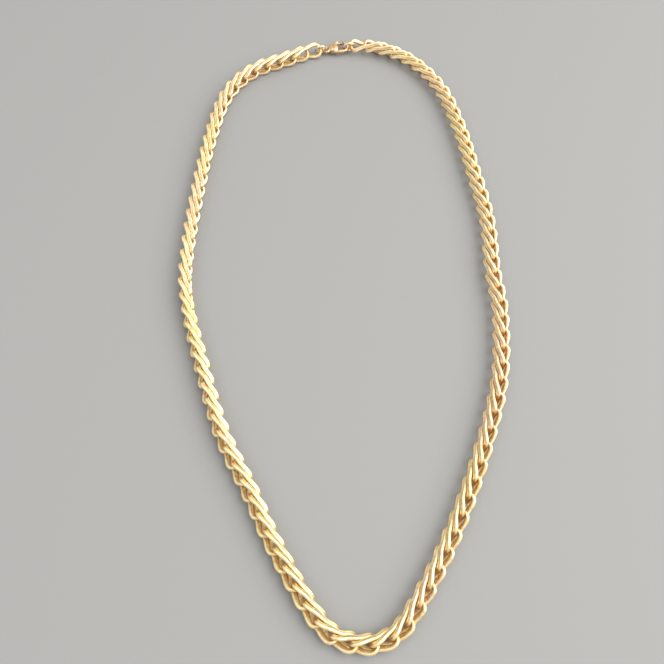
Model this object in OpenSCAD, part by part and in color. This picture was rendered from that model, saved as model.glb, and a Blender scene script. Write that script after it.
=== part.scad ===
// Rope chain necklace, closed by a small lobster clasp, lying in a loop on a flat surface.
// Millimetres, +Z up, resting on z = 0. The clasp is at the far side, +Y.

/* [Chain] */

// Number of rings in the chain, the even half of them on each side
rings = 92; // [60:2:96]
// Where the first ring's middle lies along the route, mm from its first point
chain_start = 10.7; // [8:0.1:14]
// Where the last ring's middle lies along the route, mm
chain_end = 579.1; // [560:0.1:585]
// Radius of the wire, out to the corners of its five-sided section, mm
wire_radius = 0.8; // [0.5:0.01:0.9]

/* [Ring shape] */

// Half the ring's width, mm
ring_width = 2.7; // [2:0.05:3.2]
// How far the ring's width is squared off, mm
ring_width_square = 0.24; // [0:0.01:0.6]
// How far the ring is twisted out of its plane, mm
ring_twist = 1.66; // [1:0.01:2.2]
// How far that twist is squared off, mm
ring_twist_square = 0.59; // [0:0.01:0.8]
// Half the ring's length along the chain, mm
ring_length = 6.64; // [5.5:0.01:7.5]
// How far the ring's length is squared off, mm
ring_length_square = 0.55; // [0:0.01:0.8]

/* [Clasp] */

// Middle of the clasp's hook across the loop, mm
clasp_x = 1.5; // [-4:0.1:6]
// Middle of the clasp's hook along the loop, mm
clasp_y = 124.6; // [118:0.1:128]
// Height of the clasp's middle plane above the surface, mm
clasp_z = 2.2; // [1.8:0.1:4]
// Turn of the clasp in the plane of the surface, degrees
clasp_turn = 7; // [-10:1:20]
// Radius of the hook's centreline, mm
hook_radius = 2.5; // [2:0.1:3.5]
// Radius of the hook's wire, mm
hook_wire = 0.75; // [0.5:0.05:1]
// Thickness of the clasp's body, mm
body_thick = 2.6; // [2:0.1:3.5]
// Radius of the body's round pad, mm
pad_radius = 2.5; // [2:0.1:3]
// Thickness of the lever, mm
lever_thick = 1; // [0.6:0.05:1.2]
// Radius of the lever's pin, mm
pin_radius = 0.45; // [0.3:0.05:0.6]
// Running clearance round the pin, mm
pin_gap = 0.07; // [0.02:0.01:0.1]
// Gap between the lever's tip and the hook, mm
tip_gap = 0.2; // [0.1:0.05:0.4]

/* [Small rings] */

// Radius of the centreline of the two plain rings by the clasp, mm
link_radius = 2.5; // [2:0.1:3]
// Radius of the wire of the two plain rings, mm
link_wire = 0.45; // [0.3:0.05:0.6]

/* [Hidden] */

$fn = 48;
gold = [0.93, 0.74, 0.42];
bronze = [0.66, 0.48, 0.27];

// Route of the chain's middle: across the loop, along the loop, clockwise from the clasp.
route = [
  [2, 124], [18, 123], [33, 114.5], [44.5, 98.5], [51, 77], [55, 54], [58.5, 30],
  [58.5, 6], [59.5, -12], [56.5, -38], [48, -64], [36.5, -90], [25, -110], [16, -121],
  [5, -123.5], [-6.5, -118], [-21, -96], [-30.5, -77.5], [-41, -58], [-50, -33], [-58, -6],
  [-59.5, 15], [-57.5, 48], [-54, 76], [-49, 95.5], [-39, 108.5], [-24, 116], [-11, 121.5]
];

// Turn of the rings about the chain: distance along the route, turn in degrees.
turns = [[0, 142], [230, 140], [340, 132], [400, 112], [460, 92], [520, 90], [600, 89]];

// Stations round each ring, in degrees of one quarter, packed closer at the ring's ends.
quarter = [10.7, 37.4, 75.8];
stations = [
  0, quarter[0], quarter[1], quarter[2],
  90, 180 - quarter[2], 180 - quarter[1], 180 - quarter[0],
  180, 180 + quarter[0], 180 + quarter[1], 180 + quarter[2],
  270, 360 - quarter[2], 360 - quarter[1], 360 - quarter[0]
];
sides = 5;

// Brings the middle of the loop to the origin.
middle = [-0.268, -0.575];

pitch = (chain_end - chain_start) / (rings - 1);

// The route as a smooth closed curve through its points, in fine steps.
steps = 16;
function wrap(i) = (i + len(route)) % len(route);
function blend(a, b, c, d, t) =
  0.5 * (2 * b + (c - a) * t + (2 * a - 5 * b + 4 * c - d) * t * t + (3 * b - a - 3 * c + d) * t * t * t);
path = [
  for (i = [0 : len(route) - 1])
    for (j = [0 : steps - 1])
      blend(route[wrap(i - 1)], route[i], route[wrap(i + 1)], route[wrap(i + 2)], j / steps)
];
count = len(path);
gaps = [for (i = [0 : count - 1]) norm(path[(i + 1) % count] - path[i])];
run = [for (i = 0, s = 0; i <= count; s = s + gaps[i % count], i = i + 1) s];
total = run[count];

// Point and direction at a distance along the route.
function seek(s, low, high) =
  high - low <= 1 ? low
  : let (mid = floor((low + high) / 2)) run[mid] <= s ? seek(s, mid, high) : seek(s, low, mid);
function within(s) = s - total * floor(s / total);
function point_at(s) =
  let (w = within(s), i = seek(w, 0, count), t = (w - run[i]) / gaps[i])
  path[i] * (1 - t) + path[(i + 1) % count] * t + middle;
function heading(s) = let (d = point_at(s + 1.5) - point_at(s - 1.5)) d / norm(d);
function turn_at(s) = lookup(s, turns);

// The ring's shape: across, up and along, for an angle round it.
function ring_point(u) = [
  ring_width * sin(u) + ring_width_square * sin(3 * u),
  -ring_twist * sin(2 * u) - ring_twist_square * sin(4 * u),
  ring_length * cos(u) + ring_length_square * cos(3 * u)
];
function turned(p, a) = [p[0] * cos(a) - p[1] * sin(a), p[0] * sin(a) + p[1] * cos(a), p[2]];
function rest_height(a) = wire_radius + max([for (u = stations) abs(turned(ring_point(u), a)[1])]);

// Bends a ring along the route: across goes left of the heading, along goes along the route.
function bent(p, s, h) =
  let (q = point_at(s + p[2]), d = heading(s + p[2]))
  [q[0] - d[1] * p[0], q[1] + d[0] * p[0], h + p[1]];
function unit(v) = v / norm(v);

// One ring at a distance along the route, as a closed tube of wire.
module ring(s) {
  a = turn_at(s);
  h = rest_height(a);
  n = len(stations);
  centres = [for (u = stations) bent(turned(ring_point(u), a), s, h)];
  outward = [
    for (i = [0 : n - 1])
      let (u = stations[i], p = ring_point(u), o = turned([sin(u), 0, cos(u)], a))
        bent(turned(p, a) + 0.05 * o, s, h) - centres[i]
  ];
  corners = [
    for (i = [0 : n - 1])
      let (
        t = unit(unit(centres[(i + 1) % n] - centres[i]) + unit(centres[i] - centres[(i + n - 1) % n])),
        x = unit(outward[i] - (outward[i] * t) * t),
        y = cross(t, x)
      )
        for (j = [0 : sides - 1])
          centres[i] + wire_radius * (cos(360 * j / sides) * x + sin(360 * j / sides) * y)
  ];
  faces = [
    for (i = [0 : n - 1])
      for (j = [0 : sides - 1])
        let (
          a0 = i * sides + j,
          a1 = i * sides + (j + 1) % sides,
          b0 = ((i + 1) % n) * sides + j,
          b1 = ((i + 1) % n) * sides + (j + 1) % sides
        )
          each [[a0, a1, b1], [a0, b1, b0]]
  ];
  polyhedron(points = corners, faces = faces);
}

module chain_right() {
  color(gold)
    for (k = [0 : rings / 2 - 1])
      ring(chain_start + k * pitch);
}

module chain_left() {
  color(gold)
    for (k = [rings / 2 : rings - 1])
      ring(chain_start + k * pitch);
}

// Places a piece in the clasp's own frame: +X towards the hook, +Y towards the lever.
module in_clasp() {
  translate([clasp_x + middle[0], clasp_y + middle[1], clasp_z])
    rotate([0, 0, clasp_turn])
      children();
}

pin = [-4.2, 0.6];
pad = [-4, -0.4];
eye = [-7.4, -0.6];
eye_radius = 1.45;
eye_wire = 0.5;
slot_gap = 0.1;
lever_reach = 4.95;
tip_cut = lever_reach + tip_gap;

// The lever seen from above: its arm to the hook, and its thumb tab.
lever_outline = [
  [-4, -0.4], [-2.3, 1.75], [1, 1.75], [1, 2.4], [-1.6, 2.45],
  [-1.7, 3.2], [-2.7, 3.2], [-3.4, 2.4], [-5, 1.5]
];

module pad_shape() {
  edge = body_thick / 2;
  translate([pad[0], pad[1], 0])
    rotate_extrude()
      union() {
        translate([0, -edge])
          square([pad_radius - edge, body_thick]);
        intersection() {
          translate([pad_radius - edge, 0])
            circle(r = edge);
          translate([0, -edge])
            square([pad_radius, body_thick]);
        }
      }
}

module hook_arc(from, to) {
  rotate([0, 0, from])
    rotate_extrude(angle = to - from)
      translate([hook_radius, 0])
        circle(r = hook_wire);
}

module clasp_body() {
  color(bronze)
    in_clasp() {
      difference() {
        union() {
          pad_shape();
          translate([0, -hook_radius, 0])
            rotate([0, -90, 0])
              cylinder(r = hook_wire, h = 3.6);
        }
        translate([pad[0] - 1.9, -1, -lever_thick / 2 - slot_gap])
          cube([12, 6, lever_thick + 2 * slot_gap]);
      }
      hook_arc(-90, 1);
      difference() {
        hook_arc(0, 80);
        translate([pin[0], pin[1], -2])
          cylinder(r = tip_cut, h = 4);
      }
      translate([pin[0], pin[1], -body_thick / 2 + 0.1])
        cylinder(r = pin_radius, h = body_thick - 0.2);
      translate([eye[0], eye[1], 0])
        rotate_extrude()
          translate([eye_radius, 0])
            circle(r = eye_wire);
    }
}

module clasp_lever() {
  color(bronze)
    in_clasp()
      difference() {
        union() {
          translate([pin[0], pin[1], -lever_thick / 2])
            cylinder(r = 1.3, h = lever_thick);
          intersection() {
            translate([0, 0, -lever_thick / 2])
              linear_extrude(height = lever_thick)
                polygon(lever_outline);
            translate([pin[0], pin[1], -1])
              cylinder(r = lever_reach, h = 2);
          }
          translate([-2.2, 3.2, -0.9])
            cylinder(r = 0.6, h = 1.8);
        }
        translate([pin[0], pin[1], -2])
          cylinder(r = pin_radius + pin_gap, h = 4);
      }
}

// A plain ring standing on edge, leaning sideways about the clasp's length.
module plain_ring(x, y, lean) {
  height = (link_radius * cos(lean)) + link_wire + 0.02 - clasp_z;
  in_clasp()
    translate([x, y, height])
      rotate([90 + lean, 0, 0])
        rotate_extrude()
          translate([link_radius, 0])
            circle(r = link_wire);
}

module clasp_ring() {
  color(gold)
    plain_ring(eye[0] - link_radius, -0.9, 18);
}

module tongue_ring() {
  color(gold)
    plain_ring(3.1, -0.95, 10);
}

chain_right();
chain_left();
clasp_body();
clasp_lever();
clasp_ring();
tongue_ring();
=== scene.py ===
import math

import bpy
import numpy as np
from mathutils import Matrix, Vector


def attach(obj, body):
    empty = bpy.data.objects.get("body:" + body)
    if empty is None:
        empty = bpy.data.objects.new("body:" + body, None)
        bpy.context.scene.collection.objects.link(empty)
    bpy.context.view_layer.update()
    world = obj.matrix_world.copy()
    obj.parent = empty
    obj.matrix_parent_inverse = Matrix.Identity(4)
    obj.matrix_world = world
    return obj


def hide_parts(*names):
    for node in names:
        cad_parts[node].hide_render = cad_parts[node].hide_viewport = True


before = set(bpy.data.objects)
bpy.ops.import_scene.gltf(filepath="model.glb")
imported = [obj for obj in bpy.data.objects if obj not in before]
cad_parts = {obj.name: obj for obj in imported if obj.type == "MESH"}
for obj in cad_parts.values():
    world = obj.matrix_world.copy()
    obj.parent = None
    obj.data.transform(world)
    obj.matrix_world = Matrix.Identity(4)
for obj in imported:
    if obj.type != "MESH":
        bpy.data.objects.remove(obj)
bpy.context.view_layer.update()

scene = bpy.context.scene


def link(name, data):
    """A new object in the scene, for a mesh, a camera or a light."""
    o = bpy.data.objects.new(name, data)
    scene.collection.objects.link(o)
    return o


# ---------------------------------------------------------------- camera
# It looks from the photo's viewpoint: over the loop's lower end, tilted from straight down.
CAMERA_PLACE = (-0.003435, -0.121375, 0.2252)
CAMERA_TILT = math.radians(24.5)
CAMERA_SENSOR = 36.0
CAMERA_LENS = 35.95
CAMERA_NEAR, CAMERA_FAR = 0.005, 20.0

camera_data = bpy.data.cameras.new("camera")
camera_data.sensor_width = CAMERA_SENSOR
camera_data.lens = CAMERA_LENS
camera_data.clip_start = CAMERA_NEAR
camera_data.clip_end = CAMERA_FAR
camera = link("camera", camera_data)
camera.location = CAMERA_PLACE
camera.rotation_euler = (CAMERA_TILT, 0.0, 0.0)
scene.camera = camera

# ---------------------------------------------------------------- the chain's route and rings
# These values are the CAD source's, in millimetres and degrees.
ROUTE = [
    (2, 124), (18, 123), (33, 114.5), (44.5, 98.5), (51, 77), (55, 54), (58.5, 30),
    (58.5, 6), (59.5, -12), (56.5, -38), (48, -64), (36.5, -90), (25, -110), (16, -121),
    (5, -123.5), (-6.5, -118), (-21, -96), (-30.5, -77.5), (-41, -58), (-50, -33), (-58, -6),
    (-59.5, 15), (-57.5, 48), (-54, 76), (-49, 95.5), (-39, 108.5), (-24, 116), (-11, 121.5),
]
TURNS = [(0, 142), (230, 140), (340, 132), (400, 112), (460, 92), (520, 90), (600, 89)]
MIDDLE = np.array([-0.268, -0.575])
RINGS = 92
CHAIN_START = 10.7
CHAIN_END = 579.1
PITCH = (CHAIN_END - CHAIN_START) / (RINGS - 1)
RING_WIDTH, RING_WIDTH_SQUARE = 2.7, 0.24
RING_TWIST, RING_TWIST_SQUARE = 1.66, 0.59
RING_LENGTH, RING_LENGTH_SQUARE = 6.64, 0.55
# The heading at a point is taken between the points this far behind and ahead of it.
HEADING_REACH = 1.5
# A ring's outward direction is measured over a step of this length.
OUTWARD_STEP = 0.05

# ---------------------------------------------------------------- the dressed rings, mm
MM = 0.001
BAND_HALF_WIDTH = 0.84
BAND_HALF_THICK = 0.68
# How square the band's section is: 2 is an ellipse, and more is squarer.
BAND_SQUARENESS = 2.4
GROOVE_DEPTH = 0.15
GROOVE_WIDTH = 0.3
FLOOR_GAP = 0.01
# The rings' width and height, as shares of the CAD's, leave room for the fuller band.
SLIM = np.array([0.92, 0.965])
# Each ring leans a little: degrees, and radians from ring to ring, of a slow and a fast wave.
SLOW_LEAN, SLOW_STEP = 2.4, 0.9
FAST_LEAN, FAST_STEP, FAST_START = 0.3, 5.3, 1
# The golden ratio's fraction gives neighbours tints that are far apart.
TINT_STEP = 0.618034

ROUTE_STEPS = 64
FINE_STATIONS = 2001
STATIONS = 64
SIDES = 22


def smooth_route(steps):
    """The smooth closed curve through the route's points, with this many steps between two."""
    p = np.array(ROUTE, float)
    a, b, c, d = np.roll(p, 1, 0), p, np.roll(p, -1, 0), np.roll(p, -2, 0)
    a, b, c, d = (x[:, None, :] for x in (a, b, c, d))
    t = (np.arange(steps) / steps)[None, :, None]
    q = 0.5 * (2 * b + (c - a) * t + (2 * a - 5 * b + 4 * c - d) * t**2
               + (3 * b - a - 3 * c + d) * t**3)
    return q.reshape(-1, 2)


def run_along(points):
    """The distance run at each point of a line."""
    steps = np.linalg.norm(np.diff(points, axis=0), axis=1)
    return np.concatenate([[0], np.cumsum(steps)])


PATH = smooth_route(ROUTE_STEPS)
CLOSED = np.vstack([PATH, PATH[:1]])
RUN = run_along(CLOSED)


def point_at(s):
    """The point on the chain's middle line at distance s along the route."""
    s = np.mod(s, RUN[-1])
    x = np.interp(s, RUN, CLOSED[:, 0])
    y = np.interp(s, RUN, CLOSED[:, 1])
    return np.stack([x, y], -1) + MIDDLE


def heading(s):
    d = point_at(s + HEADING_REACH) - point_at(s - HEADING_REACH)
    return d / np.linalg.norm(d, axis=-1, keepdims=True)


def turn_at(s):
    """How far a ring is turned about the chain, in radians."""
    return math.radians(np.interp(s, [t[0] for t in TURNS], [t[1] for t in TURNS]))


def ring_point(u):
    """A ring's middle line, across, up and along, at angle u round it."""
    return np.stack([
        RING_WIDTH * np.sin(u) + RING_WIDTH_SQUARE * np.sin(3 * u),
        -RING_TWIST * np.sin(2 * u) - RING_TWIST_SQUARE * np.sin(4 * u),
        RING_LENGTH * np.cos(u) + RING_LENGTH_SQUARE * np.cos(3 * u),
    ], -1)


def turned(p, a):
    """Points turned by a about the chain."""
    c, s = math.cos(a), math.sin(a)
    return np.stack([
        p[..., 0] * c - p[..., 1] * s,
        p[..., 0] * s + p[..., 1] * c,
        p[..., 2],
    ], -1)


def bent(p, s, h):
    """Points bent along the route about distance s, with their middle at height h."""
    q, d = point_at(s + p[..., 2]), heading(s + p[..., 2])
    return np.stack([
        q[..., 0] - d[..., 1] * p[..., 0],
        q[..., 1] + d[..., 0] * p[..., 0],
        h + p[..., 1],
    ], -1)


def unit(v):
    return v / np.linalg.norm(v, axis=-1, keepdims=True)


def even_stations(n):
    """Angles that space a ring's stations evenly along its wire."""
    fine = np.linspace(0, 2 * math.pi, FINE_STATIONS)
    run = run_along(ring_point(fine))
    return np.interp(np.arange(n) / n * run[-1], run, fine)


def band_section(n):
    """The band's section: a rounded strip with a shallow groove along its outer face."""
    t = np.arange(n) / n * 2 * math.pi
    c, s = np.cos(t), np.sin(t)
    out = BAND_HALF_THICK * np.sign(c) * np.abs(c) ** (2 / BAND_SQUARENESS)
    wide = BAND_HALF_WIDTH * np.sign(s) * np.abs(s) ** (2 / BAND_SQUARENESS)
    groove = np.exp(-((wide / GROOVE_WIDTH) ** 2)) * (c > 0)
    return out - GROOVE_DEPTH * groove, wide, groove


U = even_stations(STATIONS)
SECTION_OUT, SECTION_WIDE, SECTION_GROOVE = band_section(SIDES)


def tube_faces(first):
    """The faces of one ring, whose vertices start at number first."""
    out = []
    for i in range(STATIONS):
        here, ahead = first + i * SIDES, first + (i + 1) % STATIONS * SIDES
        for j in range(SIDES):
            k = (j + 1) % SIDES
            out.append((here + j, here + k, ahead + k, ahead + j))
    return out


def ring_mesh(s, lean):
    """One ring at distance s: vertices, distances from the chain's middle, groove shares."""
    a = turn_at(s)
    low = np.abs(turned(ring_point(U), a)[:, 1]).max()
    h = low * SLIM[1] + BAND_HALF_WIDTH + FLOOR_GAP
    a += lean
    lying = turned(ring_point(U), a)
    # A ring that leans keeps within the height that it has without leaning.
    lying[:, 1] *= min(1.0, low / np.abs(lying[:, 1]).max())
    lying[:, :2] *= SLIM
    outward_turned = turned(np.stack([np.sin(U), np.zeros_like(U), np.cos(U)], -1), a)
    centres = bent(lying, s, h)
    outward = bent(lying + OUTWARD_STEP * outward_turned, s, h) - centres
    t = unit(np.roll(centres, -1, 0) - np.roll(centres, 1, 0))
    x = unit(outward - (outward * t).sum(1)[:, None] * t)
    y = np.cross(t, x)
    verts = (centres[:, None, :] + SECTION_OUT[None, :, None] * x[:, None, :]
             + SECTION_WIDE[None, :, None] * y[:, None, :])
    q = point_at(s + lying[:, 2])
    away = np.stack([
        verts[..., 0] - q[:, None, 0],
        verts[..., 1] - q[:, None, 1],
        verts[..., 2] - h,
    ], -1)
    depth = np.sqrt((away**2).sum(-1))
    groove = np.repeat(SECTION_GROOVE[None, :], STATIONS, 0)
    return verts.reshape(-1, 3), depth.ravel(), groove.ravel()


def chain_half(name, first, last):
    """The rings from number first up to last as one mesh, with values for the material."""
    verts, faces, depths, tints, grooves = [], [], [], [], []
    for k in range(first, last):
        lean = math.radians(SLOW_LEAN * math.sin(SLOW_STEP * k)
                            + FAST_LEAN * math.sin(FAST_STEP * k + FAST_START))
        ring, depth, groove = ring_mesh(CHAIN_START + k * PITCH, lean)
        faces += tube_faces(len(verts) * STATIONS * SIDES)
        verts.append(ring)
        depths.append(depth)
        grooves.append(groove)
        tints.append(np.full(len(ring), (k * TINT_STEP) % 1.0))
    mesh = bpy.data.meshes.new(name)
    mesh.from_pydata((np.vstack(verts) * MM).tolist(), [], faces)
    mesh.shade_smooth()
    for label, values in (("depth", depths), ("tint", tints), ("groove", grooves)):
        att = mesh.attributes.new(label, "FLOAT", "POINT")
        att.data.foreach_set("value", np.concatenate(values).astype(np.float32))
    mesh.validate()
    return link(name, mesh)


# ---------------------------------------------------------------- materials
# Noise textures, as (scale, detail).
CLOUD = (260.0, 3.0)
BLOTCH = (95.0, 2.0)
GRAIN = (2400.0, 4.0)
ZONE = (22.0, 1.0)
FLECK = (900.0, 2.0)

# Shares of a colour mixed in, as (from low, from high, to low, to high).
# Depth is in millimetres from the chain's middle, and the rest are between 0 and 1.
BLOTCH_SHARE = (0.46, 0.62, 0.0, 0.75)
# Painted shade: the chain darkens towards its middle, where shade falls in the recesses between
# the rings.
RECESS_SHADE_SHARE = (1.1, 3.0, 1.0, 0.0)
# Painted shade in the groove along each band's outer face.
GROOVE_SHADE_SHARE = (0.2, 0.9, 0.0, 0.8)
DARK_FLECK_SHARE = (0.56, 0.68, 0.0, 0.6)
# Pale flecks are painted glints of small shiny facets.
PAINTED_GLINT_SHARE = (0.44, 0.34, 0.0, 0.6)
GRAIN_LOW, GRAIN_HIGH = 0.3, 0.7

CLOUD_MID, CLOUD_PALE = 0.36, 0.6
# The colour of the painted glints.
PAINTED_GLINT = (1.0, 0.95, 0.74)
# Broad stretches lean to lemon or to rose.
CAST = [(0.38, (1.0, 1.0, 0.87)), (0.5, (1.0, 0.98, 0.96)), (0.62, (1.0, 0.94, 0.97))]
# Each ring has its own shade.
SHADES = [(0.0, (1.0, 0.96, 0.90)), (0.5, (0.93, 0.88, 0.80)), (1.0, (1.0, 0.99, 0.97))]

BUMP_STRENGTH = 0.2
BUMP_DISTANCE = 0.00005


def material(name):
    m = bpy.data.materials.new(name)
    m.use_nodes = True
    return m, m.node_tree, m.node_tree.nodes["Principled BSDF"]


def ramp(tree, source, stops):
    """A colour ramp; stops are (position, colour)."""
    n = tree.nodes.new("ShaderNodeValToRGB")
    elements = n.color_ramp.elements
    while len(elements) < len(stops):
        elements.new(0.5)
    for element, (position, colour) in zip(elements, stops):
        element.position = position
        element.color = (*colour, 1)
    tree.links.new(source, n.inputs[0])
    return n.outputs[0]


def mix(tree, blend_type, factor, a, b):
    """Two colours blended; each value is a node's output, a colour or a number."""
    n = tree.nodes.new("ShaderNodeMix")
    n.data_type = "RGBA"
    n.blend_type = blend_type
    # The sockets of a colour mix are number 0, the factor, and 6 and 7, the two colours.
    for socket, value in ((n.inputs[0], factor), (n.inputs[6], a), (n.inputs[7], b)):
        if hasattr(value, "is_output"):
            tree.links.new(value, socket)
        elif isinstance(value, tuple):
            socket.default_value = (*value, 1)
        else:
            socket.default_value = value
    return n.outputs[2]


def spread(tree, source, limits, smooth=False):
    """Maps source by limits, which are (from low, from high, to low, to high)."""
    n = tree.nodes.new("ShaderNodeMapRange")
    for socket, value in zip(("From Min", "From Max", "To Min", "To Max"), limits):
        n.inputs[socket].default_value = value
    if smooth:
        n.interpolation_type = "SMOOTHSTEP"
    tree.links.new(source, n.inputs["Value"])
    return n.outputs[0]


def gold_material(name, pale, mid, warm, painted_shade, rough, chain=False):
    """Worn gold with painted glints, and on the chain painted shade in its recesses and grooves;
    only the chain's meshes have the depth, groove and tint values.
    """
    m, tree, shader = material(name)
    shader.inputs["Metallic"].default_value = 1.0
    place = tree.nodes.new("ShaderNodeTexCoord").outputs["Object"]

    def noise(scale, detail):
        n = tree.nodes.new("ShaderNodeTexNoise")
        n.inputs["Scale"].default_value = scale
        n.inputs["Detail"].default_value = detail
        tree.links.new(place, n.inputs["Vector"])
        return n.outputs["Fac"]

    def value(attribute):
        n = tree.nodes.new("ShaderNodeAttribute")
        n.attribute_name = attribute
        return n.outputs["Fac"]

    cloud, blotch, grain, zone = noise(*CLOUD), noise(*BLOTCH), noise(*GRAIN), noise(*ZONE)
    colour = ramp(tree, cloud, [(CLOUD_MID, mid), (CLOUD_PALE, pale)])
    colour = mix(tree, "MIX", spread(tree, blotch, BLOTCH_SHARE), colour, warm)
    colour = mix(tree, "MULTIPLY", 1.0, colour, ramp(tree, zone, CAST))
    if chain:
        # Painted shade: the colour darkens towards the chain's middle, in the recesses between
        # the rings.
        depth = spread(tree, value("depth"), RECESS_SHADE_SHARE, smooth=True)
        colour = mix(tree, "MIX", depth, colour, painted_shade)
        # Painted shade in each band's groove.
        colour = mix(tree, "MIX", spread(tree, value("groove"), GROOVE_SHADE_SHARE), colour, painted_shade)
        colour = mix(tree, "MULTIPLY", 1.0, colour, ramp(tree, value("tint"), SHADES))
    # Fine flecks: dark ones fall at random in the painted shade colour, and pale ones are painted
    # glints.
    fleck = noise(*FLECK)
    colour = mix(tree, "MIX", spread(tree, fleck, DARK_FLECK_SHARE), colour, painted_shade)
    colour = mix(tree, "MIX", spread(tree, fleck, PAINTED_GLINT_SHARE), colour, PAINTED_GLINT)
    tree.links.new(colour, shader.inputs["Base Color"])
    roughness = spread(tree, grain, (GRAIN_LOW, GRAIN_HIGH, *rough))
    tree.links.new(roughness, shader.inputs["Roughness"])
    bump = tree.nodes.new("ShaderNodeBump")
    bump.inputs["Strength"].default_value = BUMP_STRENGTH
    bump.inputs["Distance"].default_value = BUMP_DISTANCE
    tree.links.new(grain, bump.inputs["Height"])
    tree.links.new(bump.outputs[0], shader.inputs["Normal"])
    return m


gold = gold_material(
    "gold", pale=(1.0, 0.94, 0.68), mid=(1.0, 0.91, 0.65), warm=(1.0, 0.86, 0.64),
    painted_shade=(0.76, 0.49, 0.19), rough=(0.36, 0.56), chain=True,
)
plain_gold = gold_material(
    "plain_gold", pale=(1.0, 0.92, 0.74), mid=(0.98, 0.84, 0.56), warm=(0.98, 0.76, 0.5),
    painted_shade=(0.62, 0.36, 0.13), rough=(0.24, 0.4),
)
# The clasp's casting and lever take this darker gold, which paints the shade on the clasp.
clasp_shade_gold = gold_material(
    "dull_gold", pale=(0.84, 0.62, 0.36), mid=(0.66, 0.44, 0.24), warm=(0.56, 0.34, 0.2),
    painted_shade=(0.3, 0.18, 0.1), rough=(0.3, 0.5),
)

# ---------------------------------------------------------------- pieces
right = chain_half("right_rings", 0, RINGS // 2)
left = chain_half("left_rings", RINGS // 2, RINGS)
for piece, cad in ((right, "chain_right"), (left, "chain_left")):
    piece.data.materials.append(gold)
    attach(piece, "necklace")
    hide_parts(cad)

for name, finish in (("clasp_body", clasp_shade_gold), ("clasp_lever", clasp_shade_gold),
                     ("clasp_ring", plain_gold), ("tongue_ring", plain_gold)):
    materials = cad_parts[name].data.materials
    materials.clear()
    materials.append(finish)

# The clasp is a small casting: its edges and joints are softened, and its form is kept.
CASTING_VOXEL = 0.0001
SOFTEN_FACTOR = 0.5
SOFTEN_TIMES = 5
for name in ("clasp_body", "clasp_lever"):
    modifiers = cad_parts[name].modifiers
    even = modifiers.new("even", "REMESH")
    even.mode = "VOXEL"
    even.voxel_size = CASTING_VOXEL
    even.use_smooth_shade = True
    soften = modifiers.new("soften", "SMOOTH")
    soften.factor = SOFTEN_FACTOR
    soften.iterations = SOFTEN_TIMES

# ---------------------------------------------------------------- floor
FLOOR_REACH = 3
FLOOR_COLOUR = (0.29, 0.295, 0.305, 1)
FLOOR_ROUGHNESS = 0.9
FLOOR_SPECULAR = 0.1

floor_mesh = bpy.data.meshes.new("floor")
corners = [(x * FLOOR_REACH, y * FLOOR_REACH, 0) for x, y in ((-1, -1), (1, -1), (1, 1), (-1, 1))]
floor_mesh.from_pydata(corners, [], [(0, 1, 2, 3)])
floor = link("floor", floor_mesh)
floor_material, _, floor_shader = material("floor")
floor_shader.inputs["Base Color"].default_value = FLOOR_COLOUR
floor_shader.inputs["Roughness"].default_value = FLOOR_ROUGHNESS
floor_shader.inputs["Specular IOR Level"].default_value = FLOOR_SPECULAR
floor_mesh.materials.append(floor_material)

# ---------------------------------------------------------------- light
WORLD_COLOUR = (1.0, 0.97, 0.91, 1)
WORLD_STRENGTH = 0.86

world = bpy.data.worlds.new("world")
world.use_nodes = True
background = world.node_tree.nodes["Background"]
background.inputs["Color"].default_value = WORLD_COLOUR
background.inputs["Strength"].default_value = WORLD_STRENGTH
scene.world = world


def light(name, data, place, power, colour):
    """Places a light, aimed at the loop's middle."""
    data.energy = power
    data.color = colour
    o = link(name, data)
    o.location = place
    o.rotation_euler = (-Vector(place)).to_track_quat("-Z", "Y").to_euler()


def sun(name, place, power, angle, colour):
    data = bpy.data.lights.new(name, "SUN")
    data.angle = math.radians(angle)
    light(name, data, place, power, colour)


def area(name, place, power, size, colour):
    data = bpy.data.lights.new(name, "AREA")
    data.size = size
    light(name, data, place, power, colour)


sun("overhead", (0.55, 0.35, 1.0), power=1.4, angle=60, colour=(1.0, 0.98, 0.93))
area("key", (-0.4, -0.1, 0.7), power=0.5, size=0.4, colour=(1.0, 0.97, 0.9))
area("fill", (0.6, -0.1, 0.6), power=6.0, size=0.7, colour=(1.0, 0.97, 0.9))

scene.view_settings.view_transform = "Standard"
